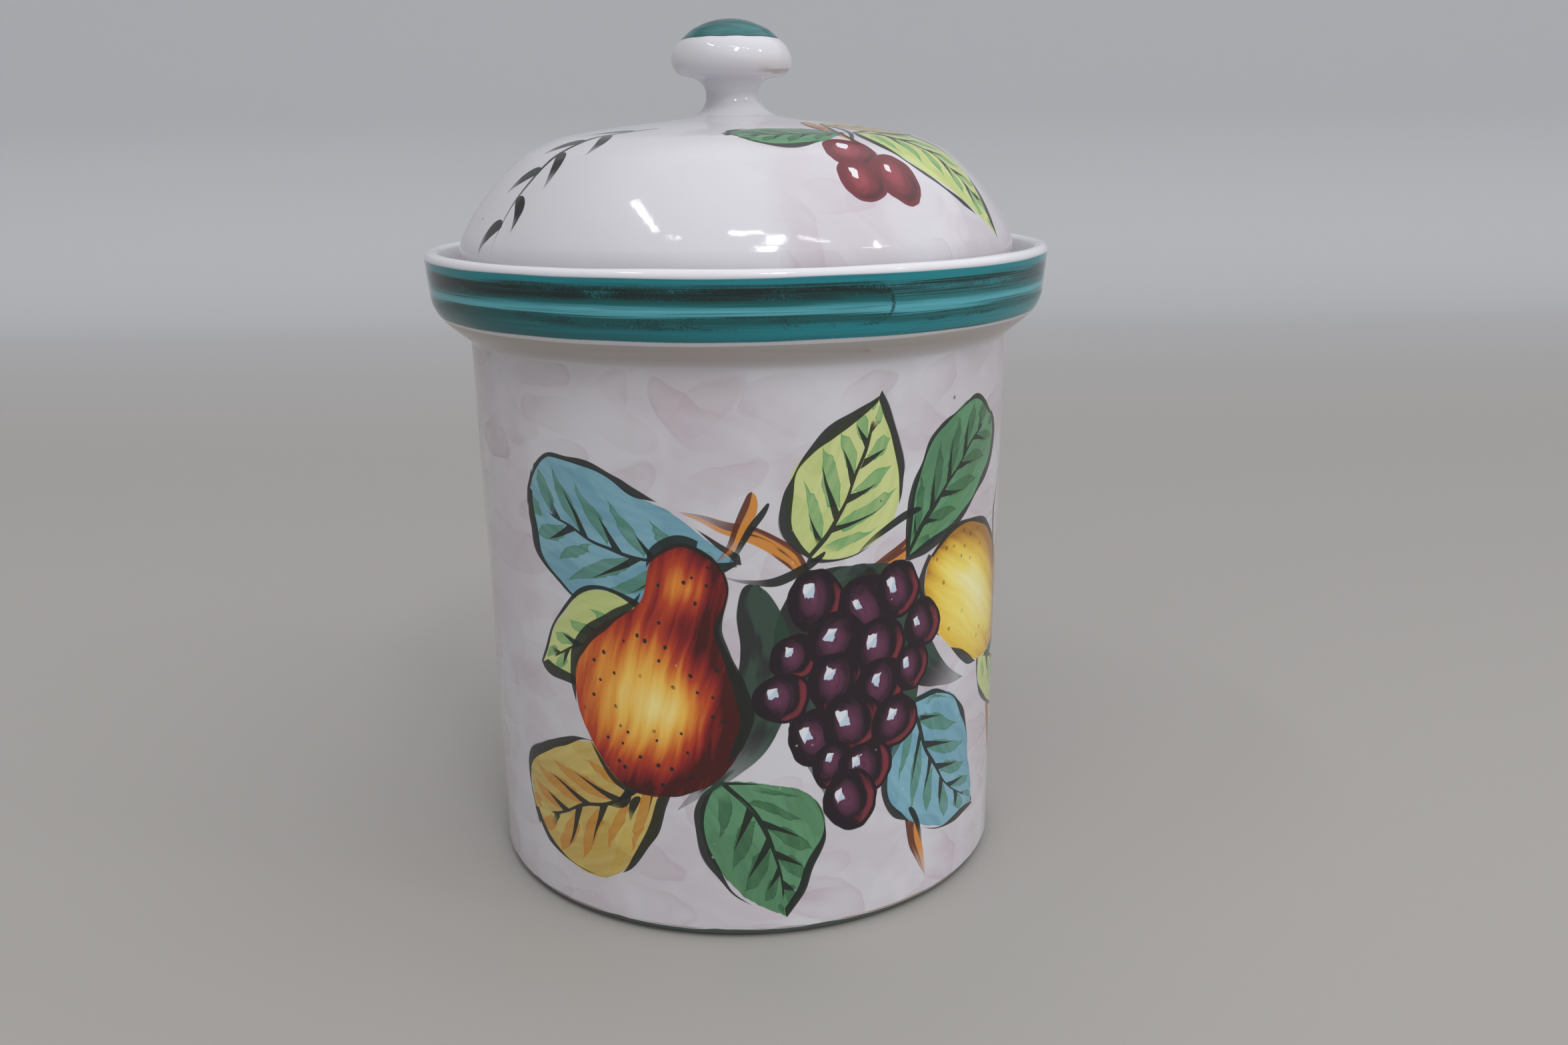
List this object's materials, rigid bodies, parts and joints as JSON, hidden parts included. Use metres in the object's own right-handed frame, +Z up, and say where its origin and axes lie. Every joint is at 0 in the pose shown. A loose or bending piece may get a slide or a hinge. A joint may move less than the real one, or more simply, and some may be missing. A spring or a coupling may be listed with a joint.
{
  "type": "lidded crock",
  "caption": "Round glazed earthenware crock with a flared collar and a domed lift-off lid with a mushroom knob, for steeping fruit or storing dry food.",
  "frame": {"origin": "centre of the foot ring, on the surface that the crock stands on", "axes": "+Z up along the axis of the jar and the lid; -Y towards the viewer of the picture"},
  "size_m": [0.2238, 0.2238, 0.3057],
  "materials": {
    "jar_glaze": "glossy white tin glaze with painted decoration, bare clay on the foot ring",
    "lid_glaze": "glossy white tin glaze with painted decoration",
    "knob_glaze": "glossy white tin glaze with a teal cap"
  },
  "bodies": {
    "jar": {"jar": "jar_glaze"},
    "lid": {"lid": "lid_glaze", "lid_knob": "knob_glaze"}
  },
  "joints": [
    {"name": "lid_lift", "type": "slide", "parent": "jar", "child": "lid", "axis": [0, 0, 1], "range_m": [0, 0.12]}
  ]
}
